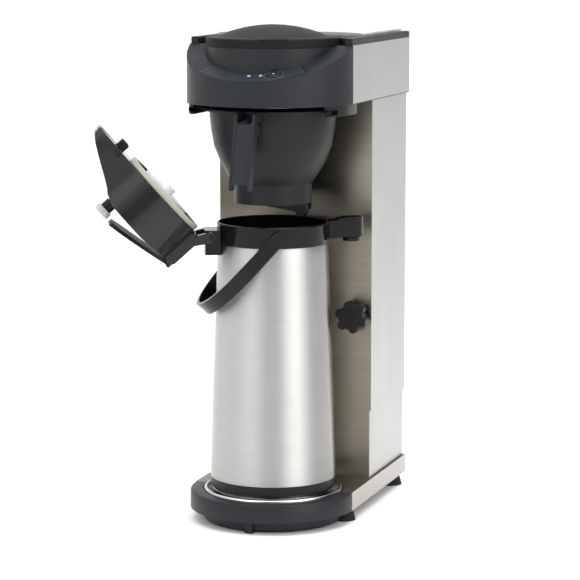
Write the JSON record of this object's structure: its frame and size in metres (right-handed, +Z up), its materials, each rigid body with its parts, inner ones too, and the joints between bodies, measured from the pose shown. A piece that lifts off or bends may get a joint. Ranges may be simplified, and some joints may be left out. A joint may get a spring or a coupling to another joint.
{
  "type": "commercial coffee brewer",
  "caption": "Filter coffee brewer with a height-adjustable head, sliding filter basket and drip stop, brewing into a lever pump pot with its lid swung open on a round steel drip tray.",
  "frame": {"origin": "on the surface it stands on, on the brew axis: the centre of the anti-slip ring under the round front of the foot", "axes": "+Z up along the brew axis, the front is -Y, +X to the right when facing the front"},
  "size_m": [0.3069, 0.3708, 0.5994],
  "materials": {
    "steel": "fine brushed stainless sheet",
    "polished_steel": "bright polished stainless",
    "brushed_pot_steel": "horizontally brushed stainless",
    "charcoal_plastic": "fine satin grain, charcoal",
    "black_plastic": "satin black",
    "gloss_black": "glossy black",
    "panel_film": "textured blue-grey film",
    "light_lens": "clear lens",
    "black_rubber": "matt",
    "silicone": "translucent",
    "grey_silicone": "satin",
    "white_plastic": "satin white",
    "natural_plastic": "milky",
    "silver_plastic": "silver grey gloss",
    "aluminium": "cast",
    "circuit_board": "green laminate",
    "zinc_screws": "zinc plated"
  },
  "bodies": {
    "base": {"base_housing": "steel", "base_front_shell": "charcoal_plastic", "base_bottom_plate": "steel", "base_plinth": "charcoal_plastic", "stand_ring": "black_rubber", "rubber_feet": "black_rubber", "foot_screws": "zinc_screws", "drip_tray": "polished_steel", "vessel_platform": "steel", "lower_column": "steel", "column_clips_and_bolts": "zinc_screws"},
    "head": {"column_sleeve": "steel", "rear_panel": "steel", "rear_panel_screws": "zinc_screws", "head_shell": "steel", "front_housing": "charcoal_plastic", "control_panel": "panel_film", "indicator_lights": "light_lens", "power_switch": "black_plastic", "top_deck": "black_plastic", "top_plate": "polished_steel", "top_trims": "black_plastic", "water_reservoir": "natural_plastic", "flow_heater": "aluminium", "riser_hose": "silicone", "feed_hose": "silicone", "control_board": "circuit_board", "spray_head": "polished_steel", "basket_rails": "black_plastic", "cable_gland": "black_plastic", "clamp_nut_plate": "zinc_screws"},
    "knob": {"clamp_knob": "black_plastic", "clamp_stud": "zinc_screws"},
    "button": {"power_button": "charcoal_plastic"},
    "tank_lid": {"reservoir_lid": "charcoal_plastic"},
    "basket": {"filter_basket": "charcoal_plastic", "basket_handle": "charcoal_plastic", "filter_grid": "steel", "valve_spring": "zinc_screws"},
    "drip_lever": {"drip_stop_lever": "black_plastic"},
    "drip_valve": {"drip_stop_valve": "silicone"},
    "pot": {"pot_base_cup": "black_plastic", "pot_shell": "brushed_pot_steel", "pot_liner": "brushed_pot_steel", "pot_collar": "gloss_black", "lid_hinge_pin": "steel", "spout_arm": "gloss_black", "spout_nozzle": "gloss_black", "dip_tube": "natural_plastic"},
    "pot_lid": {"lid_shell": "gloss_black", "lid_base_plate": "gloss_black", "lid_seal_ring": "grey_silicone", "lid_valve": "white_plastic", "pump_bellows": "natural_plastic", "beak_screw": "zinc_screws"},
    "latch": {"lid_latch": "gloss_black"},
    "lever": {"pump_lever": "gloss_black"},
    "lock": {"lock_knob": "silver_plastic"},
    "bail": {"bail_handle": "gloss_black"}
  },
  "joints": [
    {"name": "height_adjust", "type": "slide", "parent": "base", "child": "head", "axis": [0, 0, 1], "range_m": [-0.005, 0.1]},
    {"name": "clamp_knob_turn", "type": "hinge", "parent": "head", "child": "knob", "pos_m": [0.079, 0.07, 0.241], "axis": [0, -1, 0], "range_deg": [-20, 340]},
    {"name": "power_button_press", "type": "slide", "parent": "head", "child": "button", "axis": [0, 0.3904, -0.9207], "range_m": [0, 0.002], "stiffness_N_per_m": 700, "springref_m": -0.002},
    {"name": "tank_lid_lift", "type": "slide", "parent": "head", "child": "tank_lid", "axis": [0, 0, 1], "range_m": [0, 0.12]},
    {"name": "basket_slide", "type": "slide", "parent": "head", "child": "basket", "axis": [0, -1, 0], "range_m": [0, 0.2]},
    {"name": "drip_lever_swing", "type": "hinge", "parent": "basket", "child": "drip_lever", "pos_m": [0.0405, 0, 0.383], "axis": [0, 1, 0], "range_deg": [0, 6], "stiffness_Nm_per_rad": 0.2, "springref_deg": -8.59},
    {"name": "drip_valve_lift", "type": "slide", "parent": "basket", "child": "drip_valve", "axis": [0, 0, 1], "range_m": [0, 0.0044]},
    {"name": "pot_slide", "type": "slide", "parent": "base", "child": "pot", "axis": [0, -1, 0], "range_m": [0, 0.3]},
    {"name": "pot_lid_hinge", "type": "hinge", "parent": "pot", "child": "pot_lid", "pos_m": [-0.06897, -0.03071, 0.3483], "axis": [0.4067, -0.9135, 0], "range_deg": [-25, 6]},
    {"name": "latch_press", "type": "hinge", "parent": "pot_lid", "child": "latch", "pos_m": [-0.16709, -0.07439, 0.45402], "axis": [-0.4067, 0.9135, 0], "range_deg": [0, 5], "stiffness_Nm_per_rad": 0.05, "springref_deg": -11.46},
    {"name": "pump_lever_press", "type": "hinge", "parent": "pot_lid", "child": "lever", "pos_m": [-0.11694, -0.05207, 0.31611], "axis": [-0.4067, 0.9135, 0], "range_deg": [0, 9], "stiffness_Nm_per_rad": 1, "springref_deg": -14.32},
    {"name": "lock_knob_turn", "type": "hinge", "parent": "pot_lid", "child": "lock", "pos_m": [-0.18229, -0.08116, 0.382], "axis": [-0.681, -0.3032, -0.6665], "range_deg": [0, 90]},
    {"name": "bail_swing", "type": "hinge", "parent": "pot", "child": "bail", "pos_m": [0, 0, 0.351], "axis": [-0.4067, 0.9135, 0], "range_deg": [-3, 15]}
  ],
  "couplings": [
    {"joint": "drip_valve_lift", "follows": "drip_lever_swing", "m_per_rad": 0.041}
  ]
}
